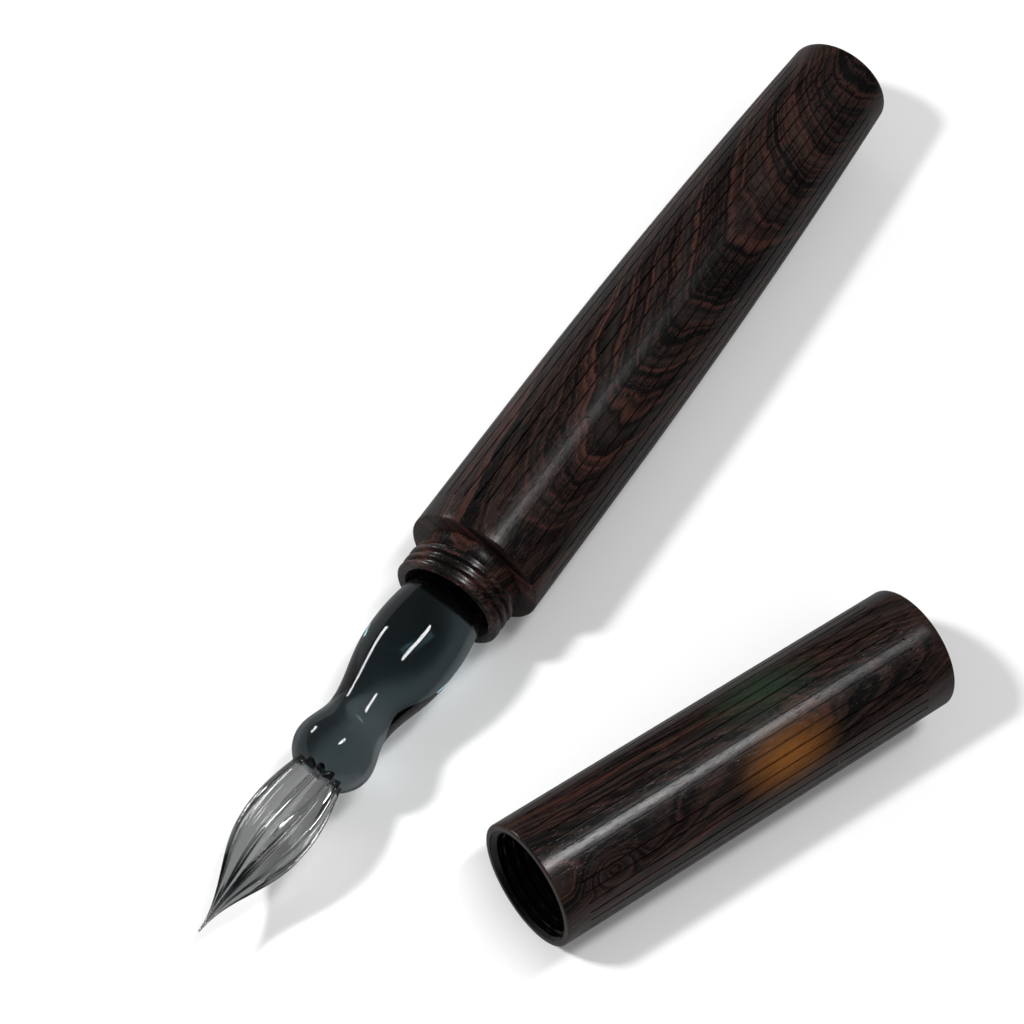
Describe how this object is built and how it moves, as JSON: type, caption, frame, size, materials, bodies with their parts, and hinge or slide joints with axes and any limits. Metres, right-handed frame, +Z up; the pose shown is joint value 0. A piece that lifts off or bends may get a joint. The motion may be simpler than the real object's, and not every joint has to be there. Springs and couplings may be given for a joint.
{
  "type": "glass dip pen",
  "caption": "Turned ebony dip pen with a smoke-glass grip and a clear fluted glass nib, its grooved screw cap lying beside it.",
  "frame": {"origin": "middle of the footprint of pen and cap together, on the standing surface", "axes": "+X along the pen towards the nib's tip, +Z up, and the cap lies on the +Y side of the pen"},
  "size_m": [0.1186, 0.0531, 0.0144],
  "materials": {
    "barrel_ebony": "satin oiled ebony, near-black with red-brown streaks",
    "collar_ebony": "polished ebony with red-brown flecks",
    "cap_ebony": "polished ebony with a warm brown patch",
    "smoke_glass": "smoke-grey solid glass, flame polished",
    "clear_glass": "clear fluted glass, flame polished",
    "ring_rubber": "matt black rubber"
  },
  "bodies": {
    "barrel": {"barrel": "barrel_ebony", "threaded_collar": "collar_ebony"},
    "glass_unit": {"glass_holder": "smoke_glass", "glass_nib": "clear_glass", "ring_front": "ring_rubber", "ring_rear": "ring_rubber"},
    "cap": {"cap": "cap_ebony"}
  },
  "joints": [
    {"name": "glass_pull", "type": "slide", "parent": "barrel", "child": "glass_unit", "axis": [1, 0, 0], "range_m": [0, 0.0135]},
    {"name": "cap_swing", "type": "hinge", "parent": "barrel", "child": "cap", "pos_m": [0.04737, -0.01082, 0.00655], "axis": [0, 0, -1], "range_deg": [0, 158]}
  ]
}
